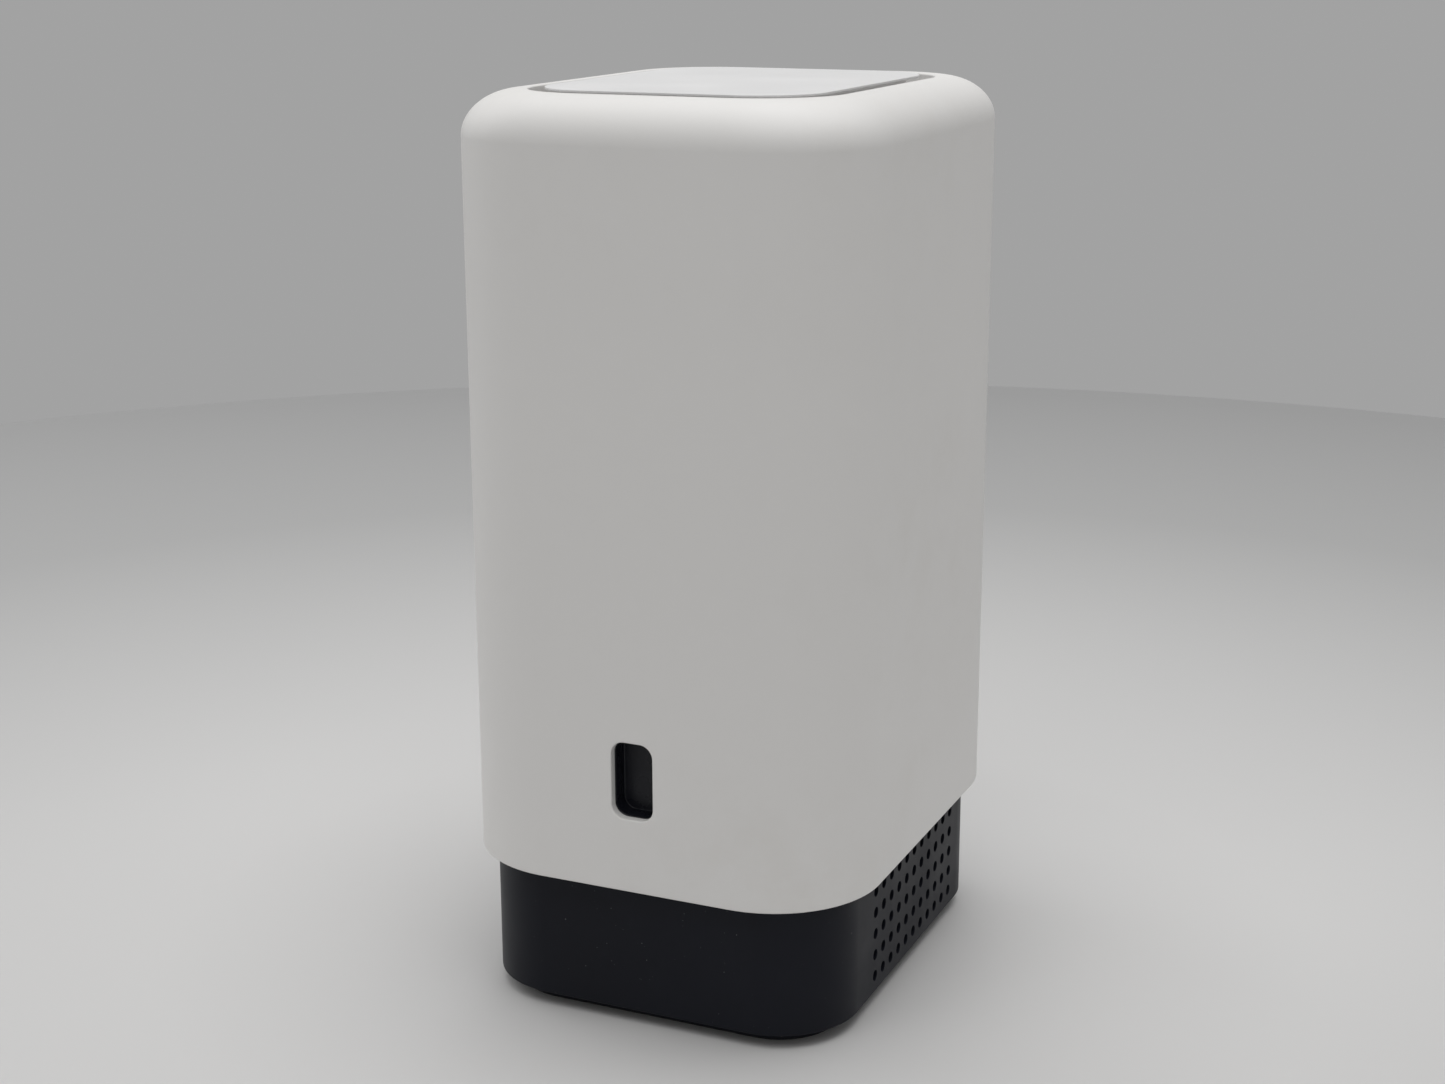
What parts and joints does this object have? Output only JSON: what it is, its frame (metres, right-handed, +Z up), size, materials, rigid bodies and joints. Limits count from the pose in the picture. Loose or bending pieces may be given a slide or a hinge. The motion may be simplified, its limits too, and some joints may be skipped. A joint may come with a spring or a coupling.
{
  "type": "wireless router",
  "caption": "Tower wireless router: white rounded sleeve with a floating lid plate over a black vented base, front status window, rear panel with sockets and buttons.",
  "frame": {"origin": "centre of the footprint, on the table", "axes": "+Z up, front (the status window) faces -Y, the rear panel faces +Y, +X is the right-hand side seen from the front"},
  "size_m": [0.111, 0.134, 0.2372],
  "materials": {
    "sleeve_white": "satin",
    "lid_white": "satin",
    "window_black": "gloss",
    "light_guide": "clear",
    "board_green": "satin",
    "ribbon": "satin",
    "base_black": "satin",
    "foot_rubber": "matte",
    "steel": "brushed",
    "carrier_grey": "matte",
    "panel_black": "satin",
    "chip_black": "matte",
    "tin": "satin",
    "thermal_pad": "matte",
    "capacitor_sleeve": "gloss",
    "contact_gold": "polished",
    "heatsink": "anodised",
    "port_black": "satin",
    "button_black": "satin",
    "plunger_white": "satin",
    "button_grey": "satin",
    "reset_red": "satin",
    "antenna_board": "satin",
    "coax_black": "satin"
  },
  "bodies": {
    "hub": {"outer_sleeve": "sleeve_white", "top_plate": "lid_white", "top_vent_frame": "sleeve_white", "status_window": "window_black", "window_light_guide": "light_guide", "status_led_board": "board_green", "led_ribbon": "ribbon", "base_housing": "base_black", "bottom_plate": "base_black", "foot_ring": "foot_rubber", "ballast_plate": "steel", "board_carrier": "carrier_grey", "antenna_frame": "carrier_grey", "rear_panel": "panel_black", "main_board": "board_green", "soc_chip": "chip_black", "memory_chips": "chip_black", "flash_chip": "chip_black", "switch_chip": "chip_black", "shield_can_upper": "tin", "shield_can_lower": "tin", "thermal_pads": "thermal_pad", "magnetics": "chip_black", "capacitors": "capacitor_sleeve", "inductors": "chip_black", "coax_plugs": "contact_gold", "heatsink_right": "heatsink", "heatsink_left": "heatsink", "heatsink_screws": "steel", "heatsink_springs": "steel", "wan_port": "tin", "lan_port_1": "tin", "lan_port_2": "tin", "lan_port_3": "tin", "lan_port_4": "tin", "phone_port": "port_black", "port_contacts": "contact_gold", "dc_inlet": "port_black", "power_switch": "port_black", "wps_switch": "port_black", "reset_switch": "port_black", "antenna_1": "antenna_board", "antenna_2": "antenna_board", "antenna_3": "antenna_board", "antenna_4": "antenna_board", "antenna_5": "antenna_board", "antenna_6": "antenna_board", "coax_leads": "coax_black", "case_screws": "steel", "core_screws": "steel", "trim_screws": "steel"},
    "power_key": {"power_button": "button_black", "power_plunger": "plunger_white"},
    "wps_key": {"wps_button": "button_grey", "wps_plunger": "port_black"},
    "reset_pin": {"reset_button": "reset_red"}
  },
  "joints": [
    {"name": "power_press", "type": "slide", "parent": "hub", "child": "power_key", "axis": [0, -1, 0], "range_m": [0, 0.002], "stiffness_N_per_m": 600},
    {"name": "wps_press", "type": "slide", "parent": "hub", "child": "wps_key", "axis": [0, -1, 0], "range_m": [0, 0.0008], "stiffness_N_per_m": 1500},
    {"name": "reset_press", "type": "slide", "parent": "hub", "child": "reset_pin", "axis": [0, -1, 0], "range_m": [0, 0.0005], "stiffness_N_per_m": 2000}
  ]
}
